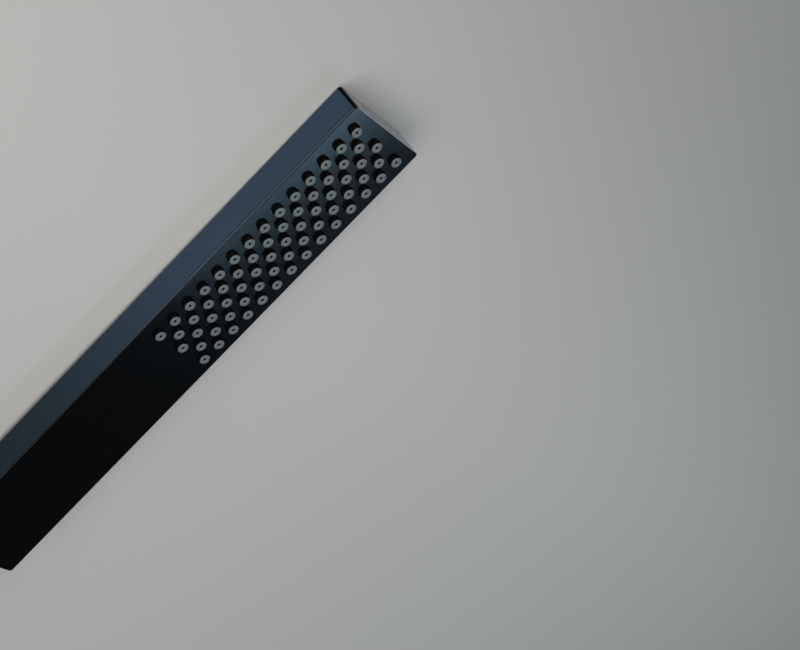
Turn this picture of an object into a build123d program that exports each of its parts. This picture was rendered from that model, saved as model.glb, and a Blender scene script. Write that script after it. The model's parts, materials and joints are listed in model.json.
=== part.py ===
"""A flat bar hand shower: a satin black trough body closed by a spray plate, five staggered rows of soft
nozzles, and the waterway, hose inlet and check valve that work inside it.

Millimetres. The origin is the centre of the hose inlet's mouth. +X runs along the bar from the inlet to
the head, +Z points out of the spray face, and +Y is across the bar."""

import os

from build123d import *

# Bar body
BAR_LENGTH = 250.0
BAR_WIDTH = 44.0
BAR_THICKNESS = 15.0
UPRIGHT_CORNER_RADIUS = 1.6
INNER_CORNER_LEAST = 0.4
BACK_EDGE_RADIUS = 0.8
SEAM_CHAMFER = 0.25
SIDE_WALL = 1.2
BACK_WALL = 1.4
HEAD_WALL = 1.2
HANDLE_WALL = 3.0
HEAD_CATCH_WIDTH = 20.0
HEAD_CATCH_REACH = 1.5
HEAD_CATCH_HEIGHT = 1.2

# Spray plate
PLATE_THICKNESS = 1.5
PLATE_EDGE_RADIUS = 0.4
HOOKS_PER_SIDE = 6
HOOK_WIDTH = 8.0
HOOK_THICKNESS = 1.2
HOOK_BARB_REACH = 0.9
HOOK_BARB_HEIGHT = 1.2
HOOK_CLEARANCE = 0.15

# Nozzle field: long and short rows take turns, the short ones half a pitch in
ROW_COUNT = 5
LONG_ROW_COUNT = 14
NOZZLE_PITCH = 8.7
SIDE_MARGIN = 8.0
HEAD_MARGIN = 7.9
NOZZLE_DIAMETER = 4.6
NOZZLE_HEIGHT = 2.2
NOZZLE_HOLE_CLEARANCE = 0.15
ORIFICE_DIAMETER = 1.3
ORIFICE_SIDES = 6

# Sheets stacked behind the spray plate
MAT_MARGIN = 3.0
MAT_THICKNESS = 1.3
DIFFUSER_THICKNESS = 1.2
DIFFUSER_SLOT_WIDTH = 2.4
DIFFUSER_SLOTS_PER_ROW = 3
DIFFUSER_WEB = 6.0
GASKET_THICKNESS = 0.8
SHEET_CORNER_RADIUS = 2.0

# Water tray
TRAY_WALL = 1.4
TRAY_FLOOR = 1.2
RAIL_REACH = 1.4
RAIL_HEIGHT = 2.0
TONGUE_WIDTH = 16.0
TONGUE_GAP = 0.2
CATCH_GAP = 0.1
RIB_COUNT = 5
RIB_THICKNESS = 1.4
CONDUIT_WALL = 1.1
CONDUIT_GAP = 0.05
CONDUIT_STEP = 0.6
SOCKET_END_GAP = 1.0

# Hose inlet: a half-inch parallel pipe thread, a collar with two flats and a spigot
THREAD_DIAMETER = 20.955
THREAD_LENGTH = 10.0
THREAD_RELIEF_DEPTH = 1.3
THREAD_RELIEF_WIDTH = 1.6
COLLAR_DIAMETER = 24.0
COLLAR_FLAT_INSET = 0.2
SPIGOT_WALL = 1.8
SPIGOT_LENGTH = 19.0
SPIGOT_SHOULDER = 1.3
SPIGOT_CLEARANCE = 0.05
SPIGOT_HOLE_CLEARANCE = 0.15
SPIGOT_SEAL_WIDTH = 1.6
SPIGOT_SEAL_DEPTH = 0.9
SPIGOT_SEAL_SETBACK = 2.0
SEAL_SIDE_CLEARANCE = 0.1

# Strainer and flow limiter in the inlet's mouth
MOUTH_BORE = 15.0
MOUTH_FIT_CLEARANCE = 0.05
STRAINER_THICKNESS = 0.8
STRAINER_RING_WIDTH = 1.2
STRAINER_BAR = 0.7
STRAINER_CELLS = 5
LIMITER_THICKNESS = 2.2
LIMITER_HUB_DIAMETER = 4.0
LIMITER_TRACK_DIAMETER = 9.0
LIMITER_TRACK_DEPTH = 1.3
LIMITER_OUTLET_DEPTH = 0.4
LIMITER_RING_SECTION = 1.2
LIMITER_SLOT_COUNT = 4
LIMITER_SLOT_WIDTH = 1.2

# Check valve cartridge
VALVE_DIAMETER = 10.0
VALVE_FIT_CLEARANCE = 0.05
VALVE_WALL = 0.9
VALVE_SEAT_THICKNESS = 2.4
VALVE_SEAT_BORE = 5.2
VALVE_SEAL_WIDTH = 1.2
VALVE_SEAL_DEPTH = 0.8
GUIDE_THICKNESS = 1.4
GUIDE_RING_WIDTH = 0.7
GUIDE_HUB_DIAMETER = 4.2
GUIDE_HUB_LENGTH = 2.4
GUIDE_ARM_COUNT = 3
GUIDE_ARM_WIDTH = 1.0
POPPET_TRAVEL = 1.4
POPPET_FLOW_GAP = 0.7
POPPET_DISC_THICKNESS = 0.9
POPPET_NOSE_LENGTH = 1.4
POPPET_NOSE_CLEARANCE = 0.3
POPPET_STEM_DIAMETER = 2.0
POPPET_STEM_CLEARANCE = 0.15
POPPET_SEAL_THICKNESS = 0.6
POPPET_SEAT_GAP = 0.05
SPRING_WIRE = 0.3
SPRING_TURNS = 3
SPRING_STEM_CLEARANCE = 0.35
SPRING_END_GAP = 0.1

# Levels through the thickness, from the spray face down to the back. The plate lies on the body's rim.
PLATE_TOP = BAR_THICKNESS / 2
PLATE_BOTTOM = PLATE_TOP - PLATE_THICKNESS
NOZZLE_TIP = PLATE_TOP + NOZZLE_HEIGHT
MAT_BOTTOM = PLATE_BOTTOM - MAT_THICKNESS
DIFFUSER_BOTTOM = MAT_BOTTOM - DIFFUSER_THICKNESS
TRAY_RIM = DIFFUSER_BOTTOM - GASKET_THICKNESS
BACK_Z = PLATE_TOP - BAR_THICKNESS
TRAY_BOTTOM = BACK_Z + BACK_WALL
TRAY_FLOOR_TOP = TRAY_BOTTOM + TRAY_FLOOR
RAIL_BOTTOM = TRAY_RIM - RAIL_HEIGHT

# Round sizes that follow from what they fit
CONDUIT_DIAMETER = 2 * (min(PLATE_BOTTOM, -TRAY_BOTTOM) - CONDUIT_GAP)
SPIGOT_DIAMETER = CONDUIT_DIAMETER - 2 * (CONDUIT_WALL + SPIGOT_CLEARANCE)
SPIGOT_BORE = SPIGOT_DIAMETER - 2 * SPIGOT_WALL
SOCKET_BORE = SPIGOT_DIAMETER + 2 * SPIGOT_CLEARANCE
CONDUIT_BORE = SOCKET_BORE - 2 * CONDUIT_STEP
MOUTH_FIT = MOUTH_BORE - 2 * MOUTH_FIT_CLEARANCE
SLEEVE_BORE = VALVE_DIAMETER - 2 * VALVE_WALL
POPPET_DISC_DIAMETER = SLEEVE_BORE - 2 * POPPET_FLOW_GAP
POPPET_NOSE_DIAMETER = VALVE_SEAT_BORE - 2 * POPPET_NOSE_CLEARANCE

# Places along the inlet's axis, from its mouth to the end of the bar's handle
LIMITER_X = STRAINER_THICKNESS
VALVE_X = LIMITER_X + LIMITER_THICKNESS
SEAT_X = VALVE_X + VALVE_SEAT_THICKNESS
POPPET_SEAL_X = SEAT_X + POPPET_SEAT_GAP
POPPET_DISC_X = POPPET_SEAL_X + POPPET_SEAL_THICKNESS
POPPET_BACK_X = POPPET_DISC_X + POPPET_DISC_THICKNESS
HUB_X = POPPET_BACK_X + POPPET_TRAVEL + (SPRING_TURNS + 1) * SPRING_WIRE + 2 * SPRING_END_GAP
VALVE_END = HUB_X + GUIDE_HUB_LENGTH
BAR_START = VALVE_END + SPIGOT_SHOULDER
SPIGOT_END = BAR_START + SPIGOT_LENGTH

# Places along the bar and across it
BAR_END = BAR_START + BAR_LENGTH
HANDLE_INSIDE = BAR_START + HANDLE_WALL
HEAD_INSIDE = BAR_END - HEAD_WALL
SIDE_INSIDE = BAR_WIDTH / 2 - SIDE_WALL
ROW_SPACING = (BAR_WIDTH - 2 * SIDE_MARGIN) / (ROW_COUNT - 1)
LAST_NOZZLE_X = BAR_END - HEAD_MARGIN
FIRST_NOZZLE_X = LAST_NOZZLE_X - (LONG_ROW_COUNT - 1) * NOZZLE_PITCH
SHEET_START = FIRST_NOZZLE_X - MAT_MARGIN
SHEET_END = LAST_NOZZLE_X + MAT_MARGIN
SHEET_HALF = BAR_WIDTH / 2 - SIDE_MARGIN + MAT_MARGIN
CHAMBER_SPAN = (SHEET_START + TRAY_WALL, SHEET_END - TRAY_WALL)
CHAMBER_HALF = SHEET_HALF - TRAY_WALL
INNER_CORNER_RADIUS = max(UPRIGHT_CORNER_RADIUS - SIDE_WALL, INNER_CORNER_LEAST)


def row_y(row):
    """How far across the bar a row of nozzles lies."""
    return (row - (ROW_COUNT - 1) / 2) * ROW_SPACING


def nozzle_places():
    """The centres of all nozzles, row by row."""
    places = []
    for row in range(ROW_COUNT):
        short = row % 2
        for index in range(LONG_ROW_COUNT - short):
            x = FIRST_NOZZLE_X + (index + short / 2) * NOZZLE_PITCH
            places.append(Pos(x, row_y(row)))
    return places


def block(x_span, half_width, z_span, corner_radius=0.0):
    """A block symmetrical across the bar, with round upright corners where a radius is given."""
    length = x_span[1] - x_span[0]
    if corner_radius:
        outline = RectangleRounded(length, 2 * half_width, corner_radius)
    else:
        outline = Rectangle(length, 2 * half_width)
    return Pos(sum(x_span) / 2, 0, z_span[0]) * extrude(outline, z_span[1] - z_span[0])


def turned(diameter, x_span):
    """A plain round bar on the inlet's axis."""
    return Pos(x_span[0], 0, 0) * extrude(Plane.YZ * Circle(diameter / 2), x_span[1] - x_span[0])


def ring(outer_diameter, inner_diameter, x_span):
    """A square-cut ring on the inlet's axis."""
    return turned(outer_diameter, x_span) - turned(inner_diameter, x_span)


def seal_groove(diameter, depth, seal_span):
    """The ring of metal or plastic that is cut away round a shaft to hold a seal."""
    span = (seal_span[0] - SEAL_SIDE_CLEARANCE, seal_span[1] + SEAL_SIDE_CLEARANCE)
    return ring(diameter, diameter - 2 * depth, span)


def body_shell():
    """The trough: back, sides and both ends in one piece, open on the spray side."""
    shell = block((BAR_START, BAR_END), BAR_WIDTH / 2, (BACK_Z, PLATE_BOTTOM), UPRIGHT_CORNER_RADIUS)
    shell = fillet(shell.faces().sort_by(Axis.Z)[0].edges(), BACK_EDGE_RADIUS)
    shell = chamfer(shell.faces().sort_by(Axis.Z)[-1].edges(), SEAM_CHAMFER)
    inside = (HANDLE_INSIDE, HEAD_INSIDE)
    shell -= block(inside, SIDE_INSIDE, (TRAY_BOTTOM, PLATE_BOTTOM), INNER_CORNER_RADIUS)
    catch_bottom = TRAY_RIM + CATCH_GAP
    shell += block(
        (HEAD_INSIDE - HEAD_CATCH_REACH, HEAD_INSIDE + HEAD_WALL / 2),
        HEAD_CATCH_WIDTH / 2,
        (catch_bottom, catch_bottom + HEAD_CATCH_HEIGHT),
    )
    return shell - turned(SPIGOT_DIAMETER + 2 * SPIGOT_HOLE_CLEARANCE, (BAR_START, HANDLE_INSIDE))


def snap_hooks():
    """Legs under the plate's long edges, with barbs that catch below the tray's rails."""
    inner_face = SHEET_HALF + RAIL_REACH + HOOK_CLEARANCE
    outer_face = inner_face + HOOK_THICKNESS
    barb_top = RAIL_BOTTOM - HOOK_CLEARANCE
    leg_bottom = barb_top - HOOK_BARB_HEIGHT
    profile = Polyline(
        (inner_face, PLATE_BOTTOM),
        (inner_face, barb_top),
        (inner_face - HOOK_BARB_REACH, barb_top),
        (inner_face, leg_bottom),
        (outer_face, leg_bottom),
        (outer_face, PLATE_BOTTOM),
        close=True,
    )
    leg = extrude(Plane.YZ * make_face(profile), HOOK_WIDTH)
    spacing = (HEAD_INSIDE - HANDLE_INSIDE) / HOOKS_PER_SIDE
    hooks = []
    for index in range(HOOKS_PER_SIDE):
        middle = HANDLE_INSIDE + (index + 0.5) * spacing
        hook = Pos(middle - HOOK_WIDTH / 2, 0, 0) * leg
        hooks += [hook, mirror(hook, about=Plane.XZ)]
    return hooks


def spray_plate():
    """The face plate on the body's rim, drilled for every nozzle and snapped to the tray."""
    plate = block((BAR_START, BAR_END), BAR_WIDTH / 2, (PLATE_BOTTOM, PLATE_TOP), UPRIGHT_CORNER_RADIUS)
    plate = fillet(plate.faces().sort_by(Axis.Z)[-1].edges(), PLATE_EDGE_RADIUS)
    plate = chamfer(plate.faces().sort_by(Axis.Z)[0].edges(), SEAM_CHAMFER)
    hole = Circle(NOZZLE_DIAMETER / 2 + NOZZLE_HOLE_CLEARANCE)
    holes = Sketch() + [place * hole for place in nozzle_places()]
    plate -= Pos(0, 0, PLATE_BOTTOM) * extrude(holes, PLATE_THICKNESS)
    return plate + snap_hooks()


def chamber_sheet(z_span):
    """A sheet with the common outline of the stack that closes the spray chamber."""
    return block((SHEET_START, SHEET_END), SHEET_HALF, z_span, SHEET_CORNER_RADIUS)


def nozzle_mat():
    """One soft moulding: a sheet behind the plate and a nozzle through each of its holes."""
    mat = chamber_sheet((MAT_BOTTOM, PLATE_BOTTOM))
    nozzles = Sketch() + [place * Circle(NOZZLE_DIAMETER / 2) for place in nozzle_places()]
    mat += Pos(0, 0, PLATE_BOTTOM) * extrude(nozzles, NOZZLE_TIP - PLATE_BOTTOM)
    orifice = RegularPolygon(ORIFICE_DIAMETER / 2, ORIFICE_SIDES)
    orifices = Sketch() + [place * orifice for place in nozzle_places()]
    return mat - Pos(0, 0, MAT_BOTTOM) * extrude(orifices, NOZZLE_TIP - MAT_BOTTOM)


def diffuser_plate():
    """The slotted plate that spreads the water evenly over the rows."""
    plate = chamber_sheet((DIFFUSER_BOTTOM, MAT_BOTTOM))
    step = (LAST_NOZZLE_X - FIRST_NOZZLE_X) / DIFFUSER_SLOTS_PER_ROW
    slot = Rectangle(step - DIFFUSER_WEB, DIFFUSER_SLOT_WIDTH)
    slots = Sketch()
    for row in range(ROW_COUNT):
        for index in range(DIFFUSER_SLOTS_PER_ROW):
            slots += Pos(FIRST_NOZZLE_X + (index + 0.5) * step, row_y(row)) * slot
    return plate - Pos(0, 0, DIFFUSER_BOTTOM) * extrude(slots, DIFFUSER_THICKNESS)


def chamber_gasket():
    """The flat ring that seals the diffuser plate to the tray's rim."""
    z_span = (TRAY_RIM, DIFFUSER_BOTTOM)
    return chamber_sheet(z_span) - block(CHAMBER_SPAN, CHAMBER_HALF, z_span)


def water_tray():
    """The moulded waterway: inlet socket, conduit along the handle and open chamber under the nozzles."""
    pocket_z = (TRAY_FLOOR_TOP, TRAY_RIM)
    whole = (HANDLE_INSIDE, SHEET_END)
    tray = block(whole, SHEET_HALF, (TRAY_BOTTOM, TRAY_RIM))
    tray += block(whole, SHEET_HALF + RAIL_REACH, (RAIL_BOTTOM, TRAY_RIM))
    pocket = (HANDLE_INSIDE + TRAY_WALL, SHEET_START)
    tray -= block(pocket, CHAMBER_HALF, pocket_z)
    rib_step = (pocket[1] - pocket[0]) / (RIB_COUNT + 1)
    for index in range(RIB_COUNT):
        middle = pocket[0] + (index + 1) * rib_step
        rib = (middle - RIB_THICKNESS / 2, middle + RIB_THICKNESS / 2)
        tray += block(rib, SHEET_HALF, (TRAY_FLOOR_TOP, PLATE_BOTTOM))
    tray += turned(CONDUIT_DIAMETER, (HANDLE_INSIDE, SHEET_START))
    tray -= block(CHAMBER_SPAN, CHAMBER_HALF, pocket_z)
    tray -= turned(CONDUIT_BORE, (HANDLE_INSIDE, CHAMBER_SPAN[0]))
    tray -= turned(SOCKET_BORE, (HANDLE_INSIDE, SPIGOT_END + SOCKET_END_GAP))
    tongue = (SHEET_END - TRAY_WALL / 2, HEAD_INSIDE - TONGUE_GAP)
    return tray + block(tongue, TONGUE_WIDTH / 2, (RAIL_BOTTOM, TRAY_RIM))


def nipple_seal_span():
    """Where the spigot's seal lies along the axis."""
    end = SPIGOT_END - SPIGOT_SEAL_SETBACK
    return (end - SPIGOT_SEAL_WIDTH, end)


def inlet_nipple():
    """The turned hose connection, which screws into the tray and clamps the body's end wall."""
    nipple = turned(THREAD_DIAMETER, (0, THREAD_LENGTH))
    relief = (THREAD_LENGTH - THREAD_RELIEF_WIDTH, THREAD_LENGTH)
    nipple -= ring(THREAD_DIAMETER, THREAD_DIAMETER - 2 * THREAD_RELIEF_DEPTH, relief)
    collar = (THREAD_LENGTH, BAR_START)
    flat = PLATE_TOP - COLLAR_FLAT_INSET
    nipple += turned(COLLAR_DIAMETER, collar) & block(collar, COLLAR_DIAMETER / 2, (-flat, flat))
    nipple += turned(SPIGOT_DIAMETER, (BAR_START, SPIGOT_END))
    nipple -= seal_groove(SPIGOT_DIAMETER, SPIGOT_SEAL_DEPTH, nipple_seal_span())
    nipple -= turned(MOUTH_BORE, (0, VALVE_X))
    nipple -= turned(VALVE_DIAMETER + 2 * VALVE_FIT_CLEARANCE, (VALVE_X, VALVE_END))
    return nipple - turned(SPIGOT_BORE, (VALVE_END, SPIGOT_END))


def nipple_seal():
    """The ring in the spigot's groove that seals it in the tray's socket."""
    inner = SPIGOT_DIAMETER - 2 * SPIGOT_SEAL_DEPTH
    return ring(SPIGOT_DIAMETER + SPIGOT_CLEARANCE, inner, nipple_seal_span())


def inlet_strainer():
    """The grid in the inlet's mouth that keeps grit out."""
    span = (0, STRAINER_THICKNESS)
    window = MOUTH_FIT - 2 * STRAINER_RING_WIDTH
    step = window / STRAINER_CELLS
    bars = Part()
    for index in range(1, STRAINER_CELLS):
        bar = Box(STRAINER_THICKNESS, STRAINER_BAR, window + STRAINER_RING_WIDTH)
        placed = Pos(STRAINER_THICKNESS / 2, index * step - window / 2, 0) * bar
        bars += [placed, Rot(90, 0, 0) * placed]
    return ring(MOUTH_FIT, window, span) + (bars & turned(window + STRAINER_RING_WIDTH, span))


def limiter_body():
    """The flow limiter's disc, with a track for its ring and slots that let the water out."""
    body = turned(MOUTH_FIT, (LIMITER_X, VALVE_X))
    track = (LIMITER_X, LIMITER_X + LIMITER_TRACK_DEPTH)
    body -= ring(LIMITER_TRACK_DIAMETER, LIMITER_HUB_DIAMETER, track)
    body -= turned(LIMITER_TRACK_DIAMETER, (VALVE_X - LIMITER_OUTLET_DEPTH, VALVE_X))
    slot_length = (LIMITER_TRACK_DIAMETER - LIMITER_HUB_DIAMETER) / 2
    slot = Pos(0, (LIMITER_HUB_DIAMETER + slot_length) / 2) * Rectangle(LIMITER_SLOT_WIDTH, slot_length)
    turn = 360 / LIMITER_SLOT_COUNT
    slots = Sketch() + [Rot(0, 0, index * turn) * slot for index in range(LIMITER_SLOT_COUNT)]
    return body - Pos(LIMITER_X, 0, 0) * extrude(Plane.YZ * slots, LIMITER_THICKNESS)


def limiter_ring():
    """The soft ring that swells over the limiter's slots as the pressure rises."""
    inner = LIMITER_HUB_DIAMETER + 2 * MOUTH_FIT_CLEARANCE
    seat = LIMITER_X + LIMITER_TRACK_DEPTH
    return ring(inner + 2 * LIMITER_RING_SECTION, inner, (seat - LIMITER_RING_SECTION, seat))


def valve_seal_span():
    """Where the cartridge's outer seal lies, in the middle of the seat's thickness."""
    middle = (VALVE_X + SEAT_X) / 2
    return (middle - VALVE_SEAL_WIDTH / 2, middle + VALVE_SEAL_WIDTH / 2)


def valve_body():
    """The check valve's sleeve, with its seat at the inlet end."""
    body = turned(VALVE_DIAMETER, (VALVE_X, VALVE_END))
    body -= turned(VALVE_SEAT_BORE, (VALVE_X, SEAT_X))
    body -= turned(SLEEVE_BORE, (SEAT_X, VALVE_END))
    return body - seal_groove(VALVE_DIAMETER, VALVE_SEAL_DEPTH, valve_seal_span())


def valve_seal():
    """The ring that seals the cartridge in the inlet."""
    inner = VALVE_DIAMETER - 2 * VALVE_SEAL_DEPTH
    return ring(VALVE_DIAMETER + VALVE_FIT_CLEARANCE, inner, valve_seal_span())


def valve_guide():
    """The spider at the sleeve's outlet that guides the poppet's stem."""
    outer = SLEEVE_BORE - 2 * VALVE_FIT_CLEARANCE
    span = (VALVE_END - GUIDE_THICKNESS, VALVE_END)
    guide = ring(outer, outer - 2 * GUIDE_RING_WIDTH, span)
    guide += turned(GUIDE_HUB_DIAMETER, (HUB_X, VALVE_END))
    reach = (outer - GUIDE_RING_WIDTH) / 2
    arm = Pos(sum(span) / 2, reach / 2, 0) * Box(GUIDE_THICKNESS, reach, GUIDE_ARM_WIDTH)
    turn = 360 / GUIDE_ARM_COUNT
    guide += [Rot(index * turn, 0, 0) * arm for index in range(GUIDE_ARM_COUNT)]
    return guide - turned(POPPET_STEM_DIAMETER + 2 * POPPET_STEM_CLEARANCE, (HUB_X, VALVE_END))


def valve_poppet():
    """The check valve's moving plug: nose, disc and stem."""
    poppet = turned(POPPET_NOSE_DIAMETER, (SEAT_X - POPPET_NOSE_LENGTH, POPPET_DISC_X))
    poppet += turned(POPPET_DISC_DIAMETER, (POPPET_DISC_X, POPPET_BACK_X))
    return poppet + turned(POPPET_STEM_DIAMETER, (POPPET_BACK_X, VALVE_END))


def poppet_seal():
    """The soft washer on the poppet that closes against the seat."""
    return ring(POPPET_DISC_DIAMETER, POPPET_NOSE_DIAMETER, (POPPET_SEAL_X, POPPET_DISC_X))


def valve_spring():
    """The coil spring of square wire between the poppet's disc and the guide's hub."""
    start = POPPET_BACK_X + SPRING_END_GAP + SPRING_WIRE / 2
    length = HUB_X - SPRING_END_GAP - SPRING_WIRE / 2 - start
    radius = POPPET_STEM_DIAMETER / 2 + SPRING_STEM_CLEARANCE + SPRING_WIRE / 2
    path = Helix(length / SPRING_TURNS, length, radius)
    section = Plane(origin=path @ 0, z_dir=path % 0) * Rectangle(SPRING_WIRE, SPRING_WIRE)
    return Pos(start, 0, 0) * Rot(0, 90, 0) * sweep(section, path, is_frenet=True)


PIECES = (
    body_shell,
    spray_plate,
    nozzle_mat,
    diffuser_plate,
    chamber_gasket,
    water_tray,
    inlet_nipple,
    nipple_seal,
    inlet_strainer,
    limiter_body,
    limiter_ring,
    valve_body,
    valve_seal,
    valve_guide,
    valve_poppet,
    poppet_seal,
    valve_spring,
)

os.makedirs("parts", exist_ok=True)
for piece in PIECES:
    export_step(piece(), f"parts/{piece.__name__}.step")
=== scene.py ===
"""A flat bar hand shower: its body, spray plate, soft nozzles and hose inlet, finished for rendering.

Metres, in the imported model's frame: the origin is the centre of the hose inlet's mouth, +X runs along the
bar from the inlet to the head, +Z points out of the spray face and +Y is across the bar."""

import json
import math
from typing import NamedTuple

import bmesh
import bpy
from bpy.props import FloatProperty, FloatVectorProperty, IntProperty, PointerProperty
from mathutils import Matrix, Vector

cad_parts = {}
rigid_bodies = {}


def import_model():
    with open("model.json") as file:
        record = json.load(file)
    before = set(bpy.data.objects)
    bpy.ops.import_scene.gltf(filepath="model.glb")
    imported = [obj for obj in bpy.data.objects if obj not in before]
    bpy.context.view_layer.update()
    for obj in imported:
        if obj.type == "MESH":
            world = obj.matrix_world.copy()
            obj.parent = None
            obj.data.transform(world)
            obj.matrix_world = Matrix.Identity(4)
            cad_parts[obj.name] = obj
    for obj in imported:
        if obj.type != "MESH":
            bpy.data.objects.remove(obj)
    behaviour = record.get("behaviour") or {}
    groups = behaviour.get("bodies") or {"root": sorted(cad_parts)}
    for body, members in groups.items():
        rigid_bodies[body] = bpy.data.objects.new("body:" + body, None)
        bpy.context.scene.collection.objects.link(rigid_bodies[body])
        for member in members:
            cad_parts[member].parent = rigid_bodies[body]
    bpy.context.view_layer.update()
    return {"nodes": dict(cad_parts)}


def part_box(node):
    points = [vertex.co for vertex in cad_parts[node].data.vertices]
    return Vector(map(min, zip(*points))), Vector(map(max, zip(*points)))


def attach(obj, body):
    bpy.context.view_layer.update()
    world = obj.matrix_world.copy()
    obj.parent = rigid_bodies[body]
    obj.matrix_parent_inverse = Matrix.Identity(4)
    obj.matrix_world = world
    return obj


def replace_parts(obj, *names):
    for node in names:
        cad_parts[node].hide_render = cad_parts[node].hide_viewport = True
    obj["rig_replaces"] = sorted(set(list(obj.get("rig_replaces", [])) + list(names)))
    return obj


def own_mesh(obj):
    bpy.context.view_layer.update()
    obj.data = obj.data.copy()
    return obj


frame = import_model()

bl_info = {
    "name": "Bar hand shower",
    "version": (1, 0, 0),
    "blender": (4, 5, 0),
    "location": "View3D > Sidebar > Shower",
    "description": "Builds the finished pieces of a flat bar hand shower and the stage they lie on",
    "category": "Object",
}

SHELL_LOW, SHELL_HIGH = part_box("body_shell")
PLATE_LOW, PLATE_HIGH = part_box("spray_plate")
MAT_LOW, MAT_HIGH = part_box("nozzle_mat")
NIPPLE_LOW, NIPPLE_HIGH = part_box("inlet_nipple")
LIMITER_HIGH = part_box("limiter_body")[1]
VALVE_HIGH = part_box("valve_body")[1]
SPIGOT_SEAL_LOW, SPIGOT_SEAL_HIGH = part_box("nipple_seal")
GASKET_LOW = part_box("chamber_gasket")[0]
SPRING_LOW, SPRING_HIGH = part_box("valve_spring")

# How far the spigot's seal stands out of its groove.
SEAL_PROUD = 0.00005
SPIGOT_RADIUS = SPIGOT_SEAL_HIGH.y - SEAL_PROUD

# Places nearer to each other than this are one place.
NEAR = 1e-6
# A radius that stands for a point on the turning axis.
AXIS = 1e-7
# A face whose normal has more than this along an axis faces that way.
FLAT = 0.999
# How far a cutting tool reaches past what it cuts.
OVERSHOOT = 0.001
# How deep a joined piece sinks into its neighbour, as a share of its own depth.
SINK = 0.1
# The floor's distance below the lowest point, so that no two faces lie in one plane.
FLOOR_GAP = 0.00005

# Sides of the round pieces.
ROUND_STEPS = 48
INLET_STEPS = 64
HOLE_STEPS = 32
NOZZLE_STEPS = 28
WIRE_STEPS = 10
# Steps across the rounded corners and edges. A chamfer has one.
CORNER_STEPS = 12
CAVITY_CORNER_STEPS = 8
MAT_CORNER_STEPS = 6
BACK_STEPS = 6
PLATE_EDGE_STEPS = 5
NOZZLE_RIM_STEPS = 3
CHAMFER_STEPS = 1
# Faces that meet at less than this many degrees are shaded as one: flat pieces, round ones, and the thread.
FLAT_ANGLE = 35.0
ROUND_ANGLE = 40.0
THREAD_ANGLE = 30.0
# How much more the broad faces count than the narrow ones beside them.
BROAD_WEIGHT = 80

# Half the width of the thread's ridge at its root and at its crest, as shares of the pitch.
RIDGE_ROOT = 0.42
RIDGE_CREST = 0.09
# The corners of a new plane lie beyond this, before they are placed.
NEW_CORNER = 0.4
# How far the side of a nozzle's dish leans in, as a share of its depth.
DISH_SLOPE = 0.5

# Along the bar: up to where the painted shade on the handle is full, and from where the open coating is.
SHADED_HANDLE_SPAN = (0.05, 0.19)
# Along the bar: where the painted shade on the floor starts and where it is darkest.
FLOOR_SHADE_SPAN = (0.15, 0.50)
# Bands of another colour: how far before an edge each starts and is full.
# Painted shade in the seam.
SEAM_BAND = (0.0004, 0.0002)
# A painted highlight along the head's edge.
HEAD_HIGHLIGHT_BAND = (0.0004, 0.00025)
COLLAR_BAND = (0.0003, 0.0001)
# How strongly painted shade darkens a place below the open coating, from 0 to 1.
SEAM_SHADE = 0.8
ROUNDED_EDGE_SHADE = 0.6
HANDLE_SHADE = 0.6
PLATE_SIDE_SHADE = 0.5
# Part of a normal, or product of two parts, at which each facing mask starts and is full.
FACING = {
    "Up": (0.15, 0.55),
    "Side": (0.45, 0.2),
    "End": (0.85, 0.97),
    "Corner": (0.03, 0.12),
    "Edge": (0.15, 0.35),
}
# The fine and the broad noise, and the span that most of a noise's values fill.
GRAIN_NOISE = {"Detail": 3.0, "Roughness": 0.6}
PATCH_NOISE = {"Detail": 4.0, "Roughness": 0.55}
NOISE_SPAN = (0.3, 0.7)
# The clear gloss on the bar's ends, and how strongly the plate and the nozzles mirror.
END_GLOSS_ROUGHNESS = 0.12
PLATE_SPECULAR = 0.4
SILICONE_SPECULAR = 0.2

WORLD_COLOUR = (0.8, 0.85, 0.9, 1)
WORLD_STRENGTH = 0.04
# The photograph's width in pixels, and the nearest that the camera sees.
PHOTO_WIDTH = 800
CAMERA_NEAREST = 0.01


class Grain(NamedTuple):
    """How a finish varies: grains and patches per metre, least and greatest roughness, strength and height of
    the grain's relief, and the patches' share of the colour."""
    fine: float
    broad: float
    rough: tuple
    relief: float
    height: float
    tone: float = 1.0


COAT_GRAIN = Grain(3200.0, 35.0, (0.26, 0.34), 0.25, 0.00002)
PLATE_GRAIN = Grain(4200.0, 60.0, (0.12, 0.16), 0.15, 0.00002)
SILICONE_GRAIN = Grain(2600.0, 300.0, (0.30, 0.46), 0.2, 0.00003, tone=0.8)
BRASS_GRAIN = Grain(1800.0, 220.0, (0.24, 0.38), 0.15, 0.00002, tone=0.75)
PLASTIC_GRAIN = Grain(1500.0, 80.0, (0.40, 0.52), 0.1, 0.00003, tone=0.92)
STEEL_GRAIN = Grain(2400.0, 400.0, (0.28, 0.42), 0.1, 0.00002, tone=0.82)
RUBBER_GRAIN = Grain(2000.0, 250.0, (0.55, 0.72), 0.2, 0.00003, tone=1.5)
FLOOR_GRAIN = Grain(300.0, 2.0, (0.75, 0.9), 0.05, 0.0001, tone=0.96)


class Lamp(NamedTuple):
    """A soft flat lamp: where it hangs, the point it looks at, its width and height, power and colour."""
    name: str
    place: tuple
    target: tuple
    size: tuple
    watts: float
    tint: tuple


# A broad key, a broad low lamp beyond the head, and a soft box that the plate mirrors.
LAMPS = (
    Lamp("key", (-0.5, 0.75, 1.2), (0.13, 0.0, 0.0), (1.5, 1.5), 19.5, (1.0, 0.985, 0.96)),
    Lamp("head_side", (0.85, 0.42, 0.45), (0.24, 0.02, 0.0), (1.1, 0.75), 8.3, (0.97, 0.99, 1.0)),
    Lamp("head_softbox", (0.09, -0.595, 0.80), (0.21, 0.0, 0.0), (0.30, 0.24), 1.33, (0.48, 0.76, 1.0)),
)


def length(name, description, default):
    """A length that the user can change, in metres."""
    return FloatProperty(name=name, description=description, default=default, unit="LENGTH", precision=5)


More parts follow.
